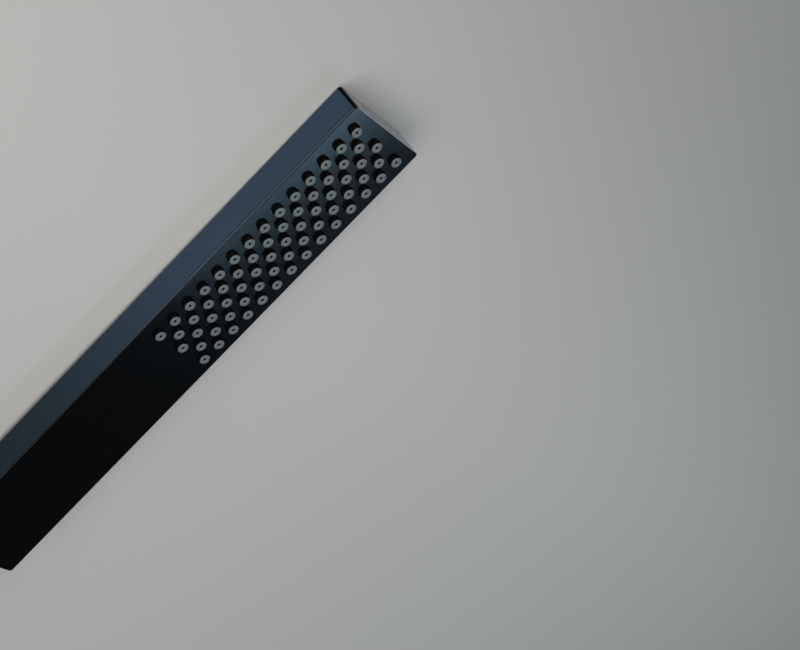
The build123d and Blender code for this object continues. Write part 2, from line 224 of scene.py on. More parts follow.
def count(name, description, default, least=1):
    """A number of like things that the user can change."""
    return IntProperty(name=name, description=description, default=default, min=least)


def colour(name, description, default):
    """A colour that the user can change."""
    return FloatVectorProperty(name=name, description=description, default=default, subtype="COLOR", size=3,
                               min=0.0, max=1.0)


def arrow(name, description, default, subtype):
    """A place or direction that the user can change."""
    return FloatVectorProperty(name=name, description=description, default=default, subtype=subtype,
                               precision=5)


class ShowerBodySizes(bpy.types.PropertyGroup):
    """Sizes of the trough body."""
    corner_radius: length("Upright corners", "Radius of the four upright corners", 0.0016)
    back_radius: length("Back edges", "Radius of the edges round the back", 0.0008)
    seam_chamfer: length("Seam chamfer", "Chamfer of the rim where the spray plate lies on it", 0.00025)
    side_wall: length("Side wall", "Thickness of the sides and the head end", 0.0012)
    handle_wall: length("Handle wall", "Thickness of the end wall that the inlet goes through", 0.003)
    back_wall: length("Back wall", "Thickness of the back", 0.0014)
    spigot_clearance: length("Spigot clearance", "Room round the spigot in the handle's end wall", 0.00015)
    catch_width: length("Catch width", "Width of the catch inside the head", 0.020)
    catch_reach: length("Catch reach", "How far the catch stands out from the head's inner face", 0.0015)
    catch_height: length("Catch height", "Height of the catch inside the head", 0.0012)
    catch_gap: length("Catch gap", "From the tray's rim up to the catch", 0.0001)


class ShowerSpraySizes(bpy.types.PropertyGroup):
    """Sizes of the spray plate and its nozzles."""
    rows: count("Rows", "Rows of nozzles across the plate", 5)
    long_row: count("Nozzles in a long row", "Short rows have one nozzle less", 14, least=2)
    pitch: length("Pitch", "Distance between nozzles in a row", 0.0087)
    row_spacing: length("Row spacing", "Distance between rows", 0.007)
    head_margin: length("Head margin", "From the bar's end to the last nozzle's centre", 0.0079)
    plate_thickness: length("Plate thickness", "Thickness of the spray plate", 0.0015)
    plate_edge: length("Plate edge", "Rounding of the plate's upper edge", 0.0004)
    hole_diameter: length("Hole diameter", "Diameter of the hole round each nozzle", 0.0049)
    hole_chamfer: length("Hole chamfer", "Chamfer at the top of each hole", 0.00012)
    nozzle_diameter: length("Nozzle diameter", "Outer diameter of a nozzle", 0.0046)
    nozzle_rim: length("Nozzle rim", "Rounding of a nozzle's tip", 0.0003)
    tip_land: length("Tip land", "Width of the flat ring round a nozzle's dish", 0.0004)
    dish_depth: length("Dish depth", "Depth of the shallow dish in a nozzle's tip", 0.0003)
    orifice: length("Orifice", "Diameter of the water hole in a nozzle", 0.0013)
    mat_corner: length("Mat corners", "Radius of the corners of the sheet that the nozzles stand on", 0.002)
    hooks_per_side: count("Hooks per side", "Snap hooks under each long edge", 6)
    hook_width: length("Hook width", "Width of a snap hook", 0.008)
    hook_thickness: length("Hook thickness", "Thickness of a snap hook's leg", 0.0012)
    hook_barb: length("Hook barb", "How far a hook's barb reaches inwards", 0.0009)
    hook_barb_height: length("Hook barb height", "Height of a hook's barb", 0.0012)
    hook_offset: length("Hook offset", "From the plate's middle to a hook's inner face", 0.01855)


class ShowerInletSizes(bpy.types.PropertyGroup):
    """Sizes of the threaded hose inlet."""
    thread_diameter: length("Thread diameter", "Crest diameter of the half-inch pipe thread", 0.020955)
    thread_pitch: length("Thread pitch", "Distance from one crest to the next", 0.001814)
    thread_depth: length("Thread depth", "From crest to root", 0.001162)
    thread_length: length("Thread length", "From the mouth to the relief", 0.0084)
    relief_depth: length("Relief depth", "Depth of the groove behind the thread", 0.0013)
    collar_start: length("Collar start", "From the mouth to the collar", 0.010)
    collar_diameter: length("Collar diameter", "Diameter of the collar", 0.024)
    collar_flat: length("Collar flat", "From the axis to each flat of the collar", 0.0073)
    collar_edge: length("Collar edge", "Chamfer round the collar", 0.0004)
    fit: length("Fit", "Clearance of the pieces that sit in the inlet", 0.00005)
    spigot_wall: length("Spigot wall", "Wall of the spigot round the water way", 0.0018)
    seal_depth: length("Seal groove", "Depth of the groove for the spigot's seal", 0.0009)
    seal_clearance: length("Seal clearance", "Room beside the spigot's seal", 0.0001)


class ShowerSpringSizes(bpy.types.PropertyGroup):
    """Sizes of the check valve's return spring."""
    wire: length("Wire", "Diameter of the wire", 0.0003)
    turns: count("Turns", "Turns of the coil", 3)
    travel: length("Travel", "How far the poppet presses the spring together", 0.0014)


class ShowerFinishes(bpy.types.PropertyGroup):
    """Colours of the finishes, and of the light and shade painted on them."""
    coat: colour("Body coating", "Satin black coating of the body", (0.011, 0.033, 0.064))
    coat_light: colour("Body coating, paler", "Paler patches of the coating", (0.014, 0.039, 0.074))
    # Painted shade on the upright corners, in the seam and on the plate's edges; on the collar it is the real
    # black coating.
    coat_black_and_shade: colour("Body coating, black and painted shade", "Painted shade on the corners and in the seam, black coating on the collar",
                      (0.0020, 0.0024, 0.0028))
    # Painted shade along the handle.
    coat_handle_shade: colour("Body coating, painted handle shade", "Coating where the handle is held", (0.005, 0.022, 0.038))
    # The coating on the plate's edge, made paler as a painted highlight.
    plate_edge: colour("Plate edge", "Coating on the spray plate's edge, with a painted highlight", (0.036, 0.067, 0.100))
    # A painted highlight along the plate's edge at the head.
    head_edge_highlight: colour("Head edge, painted highlight", "Bright edge of the spray plate at the head", (0.24, 0.25, 0.27))
    plate: colour("Spray plate", "Satin black of the spray plate", (0.0008, 0.0010, 0.0012))
    plate_light: colour("Spray plate, paler", "Paler patches of the spray plate", (0.0014, 0.0018, 0.0022))
    # Painted shade on the nozzles' sides; the tips keep the silicone's grey.
    nozzle_side_shade: colour("Nozzle sides", "Dark sides of the nozzles", (0.0015, 0.0015, 0.002))
    nozzle_tip: colour("Nozzle tips", "Grey tips of the nozzles", (0.140, 0.158, 0.167))
    brass: colour("Brass", "Turned brass of the inlet's thread", (0.72, 0.52, 0.25))
    white_plastic: colour("White plastic", "Moulded plastic of the inner pieces", (0.80, 0.80, 0.77))
    steel: colour("Steel", "Stainless steel of the strainer and spring", (0.60, 0.60, 0.60))
    rubber: colour("Rubber", "Black rubber of the seals", (0.030, 0.030, 0.031))


class ShowerStage(bpy.types.PropertyGroup):
    """The floor and the camera."""
    floor: colour("Floor", "Plain pale floor", (0.475, 0.462, 0.442))
    # Painted shade on the floor beyond the head.
    floor_far_shade: colour("Floor, far", "The floor beyond the head", (0.235, 0.235, 0.235))
    floor_width: length("Floor width", "Width of the square floor", 6.0)
    focal: FloatProperty(name="Focal length", description="In pixels of a picture of the photograph's width",
                         default=1738.1)
    sensor: FloatProperty(name="Sensor width", description="In millimetres", default=36.0)
    camera_place: arrow("Camera place", "Where the camera stands", (0.33526, 0.49595, 0.47580), "TRANSLATION")
    camera_back: arrow("Camera back", "From what it looks at towards the camera", (0.17865, 0.76927, 0.61343),
                       "DIRECTION")
    camera_up: arrow("Camera up", "Upwards in the picture", (0.69667, 0.34136, -0.63097), "DIRECTION")


def start_piece():
    """Leaves edit mode and lets go of everything, so that the next tool acts on its own piece alone."""
    if bpy.context.object and bpy.context.object.mode != "OBJECT":
        bpy.ops.object.mode_set(mode="OBJECT")
    bpy.ops.object.select_all(action="DESELECT")


def hold(piece):
    """Makes one piece the only one selected, and the active one."""
    start_piece()
    piece.select_set(True)
    bpy.context.view_layer.objects.active = piece


def settle(name):
    """Names the new piece and settles its place, turn and size into its mesh."""
    piece = bpy.context.object
    piece.name = name
    bpy.ops.object.transform_apply(location=True, rotation=True, scale=True)
    return piece


def edit(piece, kind="FACE"):
    """Goes into edit mode on the whole of a piece."""
    hold(piece)
    bpy.ops.object.mode_set(mode="EDIT")
    bpy.ops.mesh.select_mode(type=kind)
    bpy.ops.mesh.select_all(action="SELECT")


def done():
    """Goes back to object mode."""
    bpy.ops.object.mode_set(mode="OBJECT")


def pick(piece, kind, wanted):
    """Selects the vertices, edges or faces of the edited piece that pass a test of their place."""
    bpy.ops.mesh.select_mode(type=kind)
    bpy.ops.mesh.select_all(action="DESELECT")
    shape = bmesh.from_edit_mesh(piece.data)
    shape.normal_update()
    pool = {"VERT": shape.verts, "EDGE": shape.edges, "FACE": shape.faces}[kind]
    chosen = [element for element in pool if wanted(element)]
    if not chosen:
        raise RuntimeError(f"nothing of {piece.name} fits the choice")
    for element in chosen:
        element.select_set(True)
    shape.select_flush_mode()
    bmesh.update_edit_mesh(piece.data)


def pull(*step):
    """Draws what is selected out by a step."""
    bpy.ops.mesh.extrude_region_move(TRANSFORM_OT_translate={"value": step})


def face_out(weld=False):
    """Turns all faces of the edited piece outwards, and first joins points in one place where asked."""
    bpy.ops.mesh.select_all(action="SELECT")
    if weld:
        bpy.ops.mesh.remove_doubles(threshold=NEAR)
    bpy.ops.mesh.normals_make_consistent(inside=False)


def at_level(edge, level):
    """Whether both ends of an edge lie at one level."""
    return all(abs(vert.co.z - level) < NEAR for vert in edge.verts)


def upright(edge):
    """Whether an edge runs straight up."""
    run = edge.verts[0].co - edge.verts[1].co
    return abs(run.x) < NEAR and abs(run.y) < NEAR


def round_edges(piece, wanted, size, steps):
    """Rounds the edges of the edited piece that pass a test."""
    pick(piece, "EDGE", wanted)
    bpy.ops.mesh.bevel(offset=size, segments=steps, affect="EDGES")


def add_block(name, low, high, corner_radius=0.0, corner_steps=CORNER_STEPS):
    """A block between two corners, with its upright edges rounded where a radius is given."""
    start_piece()
    low, high = Vector(low), Vector(high)
    bpy.ops.mesh.primitive_cube_add(size=1.0, location=(low + high) / 2, scale=high - low)
    piece = settle(name)
    if corner_radius:
        edit(piece)
        round_edges(piece, upright, corner_radius, corner_steps)
        done()
    return piece


def add_disc(name, radius, level, steps):
    """A flat disc round the frame's Z axis, in edit mode."""
    start_piece()
    bpy.ops.mesh.primitive_circle_add(vertices=steps, radius=radius, fill_type="NGON", location=(0, 0, level))
    disc = settle(name)
    edit(disc)
    return disc


def add_turned(name, stations, steps=ROUND_STEPS):
    """A piece turned on the inlet's axis: a circle carried through stations of place along X and radius."""
    start_piece()
    place, radius = stations[0]
    bpy.ops.mesh.primitive_circle_add(vertices=steps, radius=radius, location=(place, 0, 0),
                                      rotation=(0, math.pi / 2, 0))
    piece = settle(name)
    edit(piece, "EDGE")
    for next_place, next_radius in stations[1:]:
        pull(next_place - place, 0, 0)
        swell = next_radius / radius
        bpy.ops.transform.resize(value=(1, swell, swell), center_override=(next_place, 0, 0))
        place, radius = next_place, next_radius
    face_out(weld=True)
    done()
    return piece


def wind(piece, turns, reach):
    """Carries a flat outline along a helix on the inlet's axis."""
    hold(piece)
    carry = piece.modifiers.new("carry", "SCREW")
    carry.axis = "X"
    carry.angle = 2 * math.pi * turns
    carry.screw_offset = reach
    carry.steps = carry.render_steps = int(ROUND_STEPS * turns)
    carry.use_smooth_shade = False
    bpy.ops.object.modifier_apply(modifier=carry.name)


def close_ends(piece, halfway, sink=1.0):
    """Closes both ends of the edited helix, and draws them towards the axis so that they run out."""
    for last in (False, True):
        pick(piece, "EDGE", lambda edge: edge.is_boundary and (edge.verts[0].co.x > halfway) == last)
        bpy.ops.mesh.edge_face_add()
        bpy.ops.transform.resize(value=(1, sink, sink), center_override=(0, 0, 0))
    face_out()


def combine(piece, tool, operation):
    """Cuts a tool piece from a piece, or adds it, and puts the tool away."""
    hold(piece)
    change = piece.modifiers.new("change", "BOOLEAN")
    change.operation = operation
    change.solver = "EXACT"
    change.object = tool
    bpy.ops.object.modifier_apply(modifier=change.name)
    bpy.data.objects.remove(tool)
    return piece


def join(piece, others):
    """Puts other pieces into one piece's mesh."""
    hold(piece)
    for other in others:
        other.select_set(True)
    bpy.ops.object.join()
    return piece


def copies(piece, places):
    """Copies of a piece, each with its own mesh moved to its place."""
    made = []
    for place in places:
        copy = piece.copy()
        copy.data = piece.data.copy()
        copy.data.transform(Matrix.Translation(place))
        bpy.context.collection.objects.link(copy)
        made.append(copy)
    return made


def soften(piece, angle=FLAT_ANGLE):
    """Smooth shading on round runs, with flat faces kept flat."""
    hold(piece)
    bpy.ops.object.shade_smooth_by_angle(angle=math.radians(angle))
    even = piece.modifiers.new("even", "WEIGHTED_NORMAL")
    even.keep_sharp = True
    even.weight = BROAD_WEIGHT
    bpy.ops.object.modifier_apply(modifier=even.name)


def dress(piece, finish, node):
    """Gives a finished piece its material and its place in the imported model."""
    piece.data.materials.clear()
    piece.data.materials.append(finish)
    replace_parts(piece, node)
    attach(piece, "bar")


def nozzle_places(sizes):
    """The centres of all nozzles, row by row, on the plate's level."""
    last = SHELL_HIGH.x - sizes.head_margin
    first = last - (sizes.long_row - 1) * sizes.pitch
    places = []
    for row in range(sizes.rows):
        short = row % 2
        across = (row - (sizes.rows - 1) / 2) * sizes.row_spacing
        for index in range(sizes.long_row - short):
            places.append(Vector((first + (index + short / 2) * sizes.pitch, across, 0.0)))
    return places


def node(tree, kind, **values):
    """A shader node with its settings, and its inputs where a value belongs to one."""
    made = tree.nodes.new(kind)
    for key, value in values.items():
        if key in made.inputs:
            made.inputs[key].default_value = value
        else:
            setattr(made, key, value)
    return made


def new_group(name, inputs, outputs):
    """An empty node group with its sockets."""
    group = bpy.data.node_groups.new(name, "ShaderNodeTree")
    for socket in inputs:
        kind = "NodeSocketVector" if socket == "Axis" else "NodeSocketFloat"
        group.interface.new_socket(socket, in_out="INPUT", socket_type=kind)
    for socket in outputs:
        group.interface.new_socket(socket, in_out="OUTPUT", socket_type="NodeSocketFloat")
    return group


def reckon(tree, operation, *terms):
    """The output of one step of arithmetic on masks and numbers."""
    step = node(tree, "ShaderNodeMath", operation=operation)
    for term, socket in zip(terms, step.inputs):
        if isinstance(term, bpy.types.NodeSocket):
            tree.links.new(term, socket)
        else:
            socket.default_value = term
    return step.outputs["Value"]


def grain_group():
    """Fine moulded or sprayed grain and broad soft patches, at a scale set for each material."""
    found = bpy.data.node_groups.get("Surface grain")
    if found:
        return found
    group = new_group("Surface grain", ("Grain Scale", "Patch Scale"), ("Grain", "Patch"))
    inside = node(group, "NodeGroupInput")
    outside = node(group, "NodeGroupOutput")
    place = node(group, "ShaderNodeTexCoord")
    for name, noise in (("Grain", GRAIN_NOISE), ("Patch", PATCH_NOISE)):
        texture = node(group, "ShaderNodeTexNoise", **noise)
        group.links.new(place.outputs["Object"], texture.inputs["Vector"])
        group.links.new(inside.outputs[f"{name} Scale"], texture.inputs["Scale"])
        group.links.new(texture.outputs["Fac"], outside.inputs[name])
    return group


def span_group():
    """A mask that rises along one axis of the piece, from nothing at a start to full at an end."""
    found = bpy.data.node_groups.get("Span mask")
    if found:
        return found
    group = new_group("Span mask", ("Start", "End", "Axis"), ("Mask",))
    inside = node(group, "NodeGroupInput")
    outside = node(group, "NodeGroupOutput")
    place = node(group, "ShaderNodeTexCoord")
    along = node(group, "ShaderNodeVectorMath", operation="DOT_PRODUCT")
    reach = node(group, "ShaderNodeMapRange", interpolation_type="SMOOTHSTEP")
    group.links.new(place.outputs["Object"], along.inputs[0])
    group.links.new(inside.outputs["Axis"], along.inputs[1])
    group.links.new(along.outputs["Value"], reach.inputs["Value"])
    group.links.new(inside.outputs["Start"], reach.inputs["From Min"])
    group.links.new(inside.outputs["End"], reach.inputs["From Max"])
    group.links.new(reach.outputs["Result"], outside.inputs["Mask"])
    return group


def facing_group():
    """Masks from the way a surface faces: out of the spray face, sideways, along the bar, and diagonally on
    upright corners and on long edges."""
    found = bpy.data.node_groups.get("Facing masks")
    if found:
        return found
    group = new_group("Facing masks", (), FACING)
    outside = node(group, "NodeGroupOutput")
    surface = node(group, "ShaderNodeNewGeometry")
    parts = node(group, "ShaderNodeSeparateXYZ")
    group.links.new(surface.outputs["Normal"], parts.inputs["Vector"])
    x, y, z = parts.outputs
    corner = reckon(group, "MULTIPLY", x, y)
    edge = reckon(group, "MULTIPLY", z, y)
    values = (z, *(reckon(group, "ABSOLUTE", value) for value in (z, x, corner, edge)))
    for (name, (start, end)), value in zip(FACING.items(), values):
        mask = node(group, "ShaderNodeMapRange", interpolation_type="SMOOTHSTEP")
        mask.inputs["From Min"].default_value = start
        mask.inputs["From Max"].default_value = end
        group.links.new(value, mask.inputs["Value"])
        group.links.new(mask.outputs["Result"], outside.inputs[name])
    return group


def toned(colour, share):
    """A colour made darker or paler."""
    return [channel * share for channel in colour]


def new_finish(name, grain, first, second):
    """A material whose colour varies in soft patches from a first to a second colour, over a fine relief that
    varies its roughness too. Gives the material and its shader, for later steps to add to."""
    finish = bpy.data.materials.new(name)
    finish.use_nodes = True
    tree = finish.node_tree
    shader = tree.nodes["Principled BSDF"]
    pattern = node(tree, "ShaderNodeGroup", node_tree=grain_group())
    pattern.inputs["Grain Scale"].default_value = grain.fine
    pattern.inputs["Patch Scale"].default_value = grain.broad
    tint = node(tree, "ShaderNodeMix", data_type="RGBA")
    tint.inputs["A"].default_value = (*first, 1)
    tint.inputs["B"].default_value = (*second, 1)
    tree.links.new(pattern.outputs["Patch"], tint.inputs["Factor"])
    tree.links.new(tint.outputs["Result"], shader.inputs["Base Color"])
    gloss = node(tree, "ShaderNodeMapRange")
    gloss.inputs["From Min"].default_value, gloss.inputs["From Max"].default_value = NOISE_SPAN
    gloss.inputs["To Min"].default_value, gloss.inputs["To Max"].default_value = grain.rough
    tree.links.new(pattern.outputs["Grain"], gloss.inputs["Value"])
    tree.links.new(gloss.outputs["Result"], shader.inputs["Roughness"])
    relief = node(tree, "ShaderNodeBump", Strength=grain.relief, Distance=grain.height)
    tree.links.new(pattern.outputs["Grain"], relief.inputs["Height"])
    tree.links.new(relief.outputs["Normal"], shader.inputs["Normal"])
    return finish, shader


def shade_over(tree, shader, factor, colour):
    """Lays a second colour over a material's base colour where a mask is full."""
    under = shader.inputs["Base Color"].links[0].from_socket
    shade = node(tree, "ShaderNodeMix", data_type="RGBA")
    shade.inputs["B"].default_value = (*colour, 1)
    tree.links.new(factor, shade.inputs["Factor"])
    tree.links.new(under, shade.inputs["A"])
    tree.links.new(shade.outputs["Result"], shader.inputs["Base Color"])


def span_mask(tree, axis, start, end):
    """The output of a mask that rises along an axis from a start to an end."""
    mask = node(tree, "ShaderNodeGroup", node_tree=span_group())
    mask.inputs["Axis"].default_value = axis
    mask.inputs["Start"].default_value = start
    mask.inputs["End"].default_value = end
    return mask.outputs["Mask"]


def band_mask(tree, axis, edge, band):
    """The output of a mask that rises in a band before an edge."""
    return span_mask(tree, axis, edge - band[0], edge - band[1])


def rest_of(tree, mask):
    """All that a mask leaves."""
    return reckon(tree, "SUBTRACT", 1.0, mask)


def part_of(tree, mask, share):
    """A share of a mask, or where it overlaps another."""
    return reckon(tree, "MULTIPLY", mask, share)


def either(tree, first, second):
    """The fuller of two masks."""
    return reckon(tree, "MAXIMUM", first, second)


def coat_finish(colours):
    """Satin black coating over metal, with painted shade along the handle, on the upright corners and in the
    seam under the plate, and glossy on the ends."""
    finish, shader = new_finish("Satin black coating", COAT_GRAIN, colours.coat, colours.coat_light)
    tree = finish.node_tree
    # Painted shade along the handle.
    darkened = span_mask(tree, (1, 0, 0), *reversed(SHADED_HANDLE_SPAN))
    shade_over(tree, shader, darkened, colours.coat_handle_shade)
    facing = node(tree, "ShaderNodeGroup", node_tree=facing_group())
    # Painted shade on the upright corners and in the seam; Metallic darkens it and the handle's shade
    # further.
    seam = part_of(tree, band_mask(tree, (0, 0, 1), SHELL_HIGH.z, SEAM_BAND), SEAM_SHADE)
    painted_shade = either(tree, facing.outputs["Corner"], seam)
    shade_over(tree, shader, painted_shade, colours.coat_black_and_shade)
    tree.links.new(either(tree, painted_shade, part_of(tree, darkened, HANDLE_SHADE)), shader.inputs["Metallic"])
    tree.links.new(facing.outputs["End"], shader.inputs["Coat Weight"])
    shader.inputs["Coat Roughness"].default_value = END_GLOSS_ROUGHNESS
    return finish


def plate_finish(colours):
    """Smooth satin black of the spray plate, with the body's coating and a painted highlight on its edge,
    painted shade on its corners, rounded long edges and sides along the handle, and a painted highlight along
    the head."""
    finish, shader = new_finish("Satin black plate", PLATE_GRAIN, colours.plate, colours.plate_light)
    shader.inputs["Specular IOR Level"].default_value = PLATE_SPECULAR
    tree = finish.node_tree
    facing = node(tree, "ShaderNodeGroup", node_tree=facing_group())
    # Painted shade on the plate's sides along the handle.
    darkened = part_of(tree, facing.outputs["Side"], span_mask(tree, (1, 0, 0), *reversed(SHADED_HANDLE_SPAN)))
    shade_over(tree, shader, darkened, colours.coat_handle_shade)
    # A painted highlight on the plate's edge, fading out towards the handle.
    edge = part_of(tree, facing.outputs["Side"], span_mask(tree, (1, 0, 0), *SHADED_HANDLE_SPAN))
    shade_over(tree, shader, edge, colours.plate_edge)
    # Painted shade on the corners, the rounded long edges and the sides along the handle, darkened further by
    # Metallic.
    painted_shade = either(tree, facing.outputs["Corner"], part_of(tree, facing.outputs["Edge"], ROUNDED_EDGE_SHADE))
    painted_shade = either(tree, painted_shade, part_of(tree, darkened, PLATE_SIDE_SHADE))
    shade_over(tree, shader, painted_shade, colours.coat_black_and_shade)
    tree.links.new(painted_shade, shader.inputs["Metallic"])
    # A painted highlight along the plate's edge at the head.
    shade_over(tree, shader, band_mask(tree, (1, 0, 0), PLATE_HIGH.x, HEAD_HIGHLIGHT_BAND), colours.head_edge_highlight)
    return finish


def silicone_finish(colours):
    """Soft grey silicone, with painted shade on the nozzles' sides."""
    worn = toned(colours.nozzle_tip, SILICONE_GRAIN.tone)
    finish, shader = new_finish("Grey silicone", SILICONE_GRAIN, colours.nozzle_tip, worn)
    shader.inputs["Specular IOR Level"].default_value = SILICONE_SPECULAR
    tree = finish.node_tree
    facing = node(tree, "ShaderNodeGroup", node_tree=facing_group())
    # Painted shade on the nozzles' sides, where they don't face up.
    shade_over(tree, shader, rest_of(tree, facing.outputs["Up"]), colours.nozzle_side_shade)
    return finish


def brass_finish(colours, sizes):
    """Turned brass at the thread, with the body's black coating on the collar."""
    worn = toned(colours.brass, BRASS_GRAIN.tone)
    finish, shader = new_finish("Brass inlet", BRASS_GRAIN, worn, colours.brass)
    tree = finish.node_tree
    coated = band_mask(tree, (1, 0, 0), sizes.collar_start, COLLAR_BAND)
    shade_over(tree, shader, coated, colours.coat_black_and_shade)
    tree.links.new(rest_of(tree, coated), shader.inputs["Metallic"])
    return finish


def white_finish(colours):
    """Natural white moulded plastic."""
    shade = toned(colours.white_plastic, PLASTIC_GRAIN.tone)
    return new_finish("White plastic", PLASTIC_GRAIN, shade, colours.white_plastic)[0]


def steel_finish(colours, name="Stainless steel"):
    """Plain stainless steel."""
    shade = toned(colours.steel, STEEL_GRAIN.tone)
    finish, shader = new_finish(name, STEEL_GRAIN, shade, colours.steel)
    shader.inputs["Metallic"].default_value = 1.0
    return finish


def rubber_finish(colours):
    """Black sealing rubber."""
    light = toned(colours.rubber, RUBBER_GRAIN.tone)
    return new_finish("Sealing rubber", RUBBER_GRAIN, colours.rubber, light)[0]


INNER_FINISHES = {
    white_finish: ("diffuser_plate", "water_tray", "limiter_body", "valve_body", "valve_guide",
                   "valve_poppet"),
    steel_finish: ("inlet_strainer",),
    rubber_finish: ("chamber_gasket", "nipple_seal", "limiter_ring", "valve_seal", "poppet_seal"),
}


class SHOWER_OT_body(bpy.types.Operator):
    """Model the trough body with its rounded corners and rim"""
    bl_idname = "shower.body"
    bl_label = "Body"

    def execute(self, context):
        sizes = context.scene.shower_body
        body = add_block("bar_body", SHELL_LOW, SHELL_HIGH, sizes.corner_radius)
        edit(body)
        round_edges(body, lambda edge: at_level(edge, SHELL_LOW.z), sizes.back_radius, BACK_STEPS)
        round_edges(body, lambda edge: at_level(edge, SHELL_HIGH.z), sizes.seam_chamfer, CHAMFER_STEPS)
        done()
        handle_inside = SHELL_LOW.x + sizes.handle_wall
        head_inside = SHELL_HIGH.x - sizes.side_wall
        side_inside = SHELL_HIGH.y - sizes.side_wall
        cavity = add_block(
            "body_cavity",
            (handle_inside, -side_inside, SHELL_LOW.z + sizes.back_wall),
            (head_inside, side_inside, SHELL_HIGH.z + OVERSHOOT),
            sizes.corner_radius - sizes.side_wall,
            CAVITY_CORNER_STEPS,
        )
        combine(body, cavity, "DIFFERENCE")
        radius = SPIGOT_RADIUS + sizes.spigot_clearance
        hole = add_turned("spigot_hole", (
            (SHELL_LOW.x - OVERSHOOT, AXIS),
            (SHELL_LOW.x - OVERSHOOT, radius),
            (handle_inside + OVERSHOOT, radius),
            (handle_inside + OVERSHOOT, AXIS),
        ))
        combine(body, hole, "DIFFERENCE")
        catch_bottom = GASKET_LOW.z + sizes.catch_gap
        catch = add_block(
            "head_catch",
            (head_inside - sizes.catch_reach, -sizes.catch_width / 2, catch_bottom),
            (head_inside + sizes.side_wall / 2, sizes.catch_width / 2, catch_bottom + sizes.catch_height),
        )
        combine(body, catch, "UNION")
        soften(body)
        dress(body, coat_finish(context.scene.shower_finishes), "body_shell")
        return {"FINISHED"}


class SHOWER_OT_spray_plate(bpy.types.Operator):
    """Model the spray plate with its drilled holes and snap hooks"""
    bl_idname = "shower.spray_plate"
    bl_label = "Spray plate"

    def execute(self, context):
        sizes = context.scene.shower_spray
        top = PLATE_HIGH.z
        bottom = top - sizes.plate_thickness
        body = context.scene.shower_body
        plate = add_block("spray_face", (PLATE_LOW.x, PLATE_LOW.y, bottom), PLATE_HIGH, body.corner_radius)
        edit(plate)
        round_edges(plate, lambda edge: at_level(edge, top), sizes.plate_edge, PLATE_EDGE_STEPS)
        round_edges(plate, lambda edge: at_level(edge, bottom), body.seam_chamfer, CHAMFER_STEPS)
        done()
        drill = self.drill(sizes, top, bottom)
        drills = copies(drill, nozzle_places(sizes))
        bpy.data.objects.remove(drill)
        combine(plate, join(drills[0], drills[1:]), "DIFFERENCE")
        join(plate, self.hooks(sizes, body, bottom))
        soften(plate)
        dress(plate, plate_finish(context.scene.shower_finishes), "spray_plate")
        return {"FINISHED"}

    def drill(self, sizes, top, bottom):
        """The tool that cuts one hole, wider at the top for the chamfer."""
        radius = sizes.hole_diameter / 2
        below = bottom - sizes.plate_thickness
        drill = add_disc("hole_drill", radius, below, HOLE_STEPS)
        level = top - sizes.hole_chamfer
        pull(0, 0, level - below)
        rise = 2 * sizes.hole_chamfer
        pull(0, 0, rise)
        swell = (radius + rise) / radius
        bpy.ops.transform.resize(value=(swell, swell, 1), center_override=(0, 0, level + rise))
        face_out()
        done()
        return drill

    def hooks(self, sizes, body, bottom):
        """The snap hooks under both long edges."""
        half = sizes.hook_width / 2
        inner = sizes.hook_offset
        outer = inner + sizes.hook_thickness
        barb_top = PLATE_LOW.z + sizes.hook_barb_height
        leg = add_block("hook_leg", (-half, inner, PLATE_LOW.z), (half, outer, bottom + sizes.plate_edge))
        edit(leg)
        bpy.ops.mesh.bisect(plane_co=(0, 0, barb_top), plane_no=(0, 0, 1))
        pick(leg, "FACE", lambda face: face.normal.y < -FLAT and face.calc_center_median().z < barb_top)
        pull(0, -sizes.hook_barb, 0)
        barb_face = inner - sizes.hook_barb
        pick(leg, "EDGE", lambda edge: at_level(edge, PLATE_LOW.z)
             and all(abs(vert.co.y - barb_face) < NEAR for vert in edge.verts))
        bpy.ops.transform.translate(value=(0, sizes.hook_barb, 0))
        face_out(weld=True)
        done()
        start = SHELL_LOW.x + body.handle_wall
        end = SHELL_HIGH.x - body.side_wall
        step = (end - start) / sizes.hooks_per_side
        places = [Vector((start + (index + 0.5) * step, 0, 0)) for index in range(sizes.hooks_per_side)]
        near_side = copies(leg, places)
        far_side = copies(leg, places)
        for hook in far_side:
            hook.data.transform(Matrix.Scale(-1, 4, (0, 1, 0)))
            hook.data.flip_normals()
        bpy.data.objects.remove(leg)
        return near_side + far_side


class SHOWER_OT_nozzles(bpy.types.Operator):
    """Model the soft nozzles with rounded tips, shallow dishes and water holes"""
    bl_idname = "shower.nozzles"
    bl_label = "Nozzles"

    def execute(self, context):
        sizes = context.scene.shower_spray
        plate_bottom = PLATE_HIGH.z - sizes.plate_thickness
        nozzle = self.nozzle(sizes, plate_bottom)
        nozzles = copies(nozzle, nozzle_places(sizes))
        bpy.data.objects.remove(nozzle)
        mat = add_block("nozzle_field", MAT_LOW, (MAT_HIGH.x, MAT_HIGH.y, plate_bottom), sizes.mat_corner,
                        MAT_CORNER_STEPS)
        join(mat, nozzles)
        soften(mat, ROUND_ANGLE)
        dress(mat, silicone_finish(context.scene.shower_finishes), "nozzle_mat")
        return {"FINISHED"}

    def nozzle(self, sizes, plate_bottom):
        """One nozzle at the frame's origin, rooted in the mat."""
        radius = sizes.nozzle_diameter / 2
        root = plate_bottom - 0.5 * (plate_bottom - MAT_LOW.z)
        tip = MAT_HIGH.z
        nozzle = add_disc("nozzle", radius, root, NOZZLE_STEPS)
        pull(0, 0, tip - root)
        face_out()
        round_edges(nozzle, lambda edge: at_level(edge, tip), sizes.nozzle_rim, NOZZLE_RIM_STEPS)
        pick(nozzle, "FACE", lambda face: face.normal.z > FLAT and face.calc_center_median().z > tip - NEAR)
        bpy.ops.mesh.inset(thickness=sizes.tip_land)
        slope = DISH_SLOPE * sizes.dish_depth
        bpy.ops.mesh.inset(thickness=slope, depth=-sizes.dish_depth)
        dish = radius - sizes.nozzle_rim - sizes.tip_land - slope
        bpy.ops.mesh.inset(thickness=dish - sizes.orifice / 2)
        pull(0, 0, plate_bottom - tip)
        done()
        return nozzle


